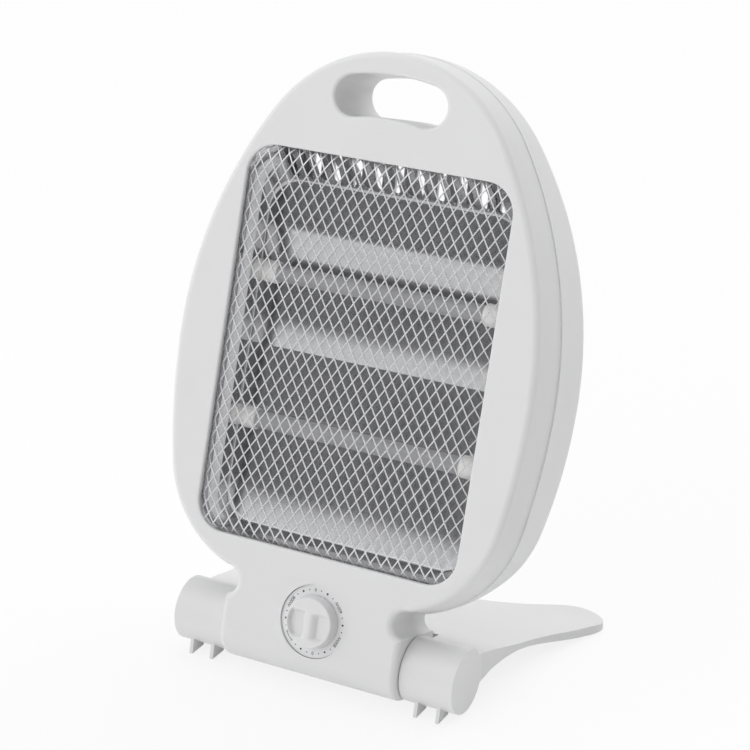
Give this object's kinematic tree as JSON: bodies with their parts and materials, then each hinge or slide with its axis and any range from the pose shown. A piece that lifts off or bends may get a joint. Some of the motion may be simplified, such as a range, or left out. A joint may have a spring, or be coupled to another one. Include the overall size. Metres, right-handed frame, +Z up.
{
  "type": "quartz heater",
  "caption": "Compact quartz radiant heater: egg-shaped casing with hand slot, wire grille, polished reflector, quartz tubes and power knob, tilting on a flat foot.",
  "frame": {"origin": "on the floor, under the middle of the whole object", "axes": "+X to the right seen from the front, +Y to the back, +Z up"},
  "size_m": [0.2292, 0.1574, 0.3338],
  "materials": {
    "casing_plastic": "satin white",
    "grille_wire": "bright",
    "reflector_metal": "polished",
    "dial_plastic": "printed",
    "knob_plastic": "satin",
    "shaft_plastic": "plain",
    "dark_plastic": "plain",
    "clear_plastic": "plain",
    "bush_rubber": "plain",
    "steel": "zinc",
    "ceramic": "glazed",
    "quartz": "milky",
    "heating_wire": "dull"
  },
  "bodies": {
    "foot": {"foot": "casing_plastic", "barrel_end_cap_left": "casing_plastic", "barrel_end_cap_right": "casing_plastic", "hinge_bolt_left": "steel", "hinge_washer_left": "steel", "hinge_nut_left": "steel", "hinge_bolt_right": "steel", "hinge_washer_right": "steel", "hinge_nut_right": "steel"},
    "casing": {"front_cover": "casing_plastic", "rear_cover": "casing_plastic", "grille": "grille_wire", "reflector": "reflector_metal", "dial_plate": "dial_plastic", "cord_bush": "bush_rubber", "quartz_tube_upper": "quartz", "quartz_tube_lower": "quartz", "heating_coil_upper": "heating_wire", "heating_coil_lower": "heating_wire", "ceramic_cap_upper_left": "ceramic", "ceramic_cap_upper_right": "ceramic", "ceramic_cap_lower_left": "ceramic", "ceramic_cap_lower_right": "ceramic", "tube_terminals": "steel", "rotary_switch": "dark_plastic", "switch_screws": "steel", "tip_over_switch": "dark_plastic", "terminal_block": "clear_plastic", "thermal_cutout": "steel", "cover_screws": "steel", "reflector_screws": "steel"},
    "control_knob": {"knob": "knob_plastic", "switch_shaft": "shaft_plastic"}
  },
  "joints": [
    {"name": "casing_tilt", "type": "hinge", "parent": "foot", "child": "casing", "pos_m": [0, -0.05262, 0.0197], "axis": [-1, 0, 0], "range_deg": [-18.5, 15]},
    {"name": "knob_turn", "type": "hinge", "parent": "casing", "child": "control_knob", "pos_m": [0.002, -0.06927, 0.04175], "axis": [0, -0.948, 0.3183], "continuous": true}
  ]
}
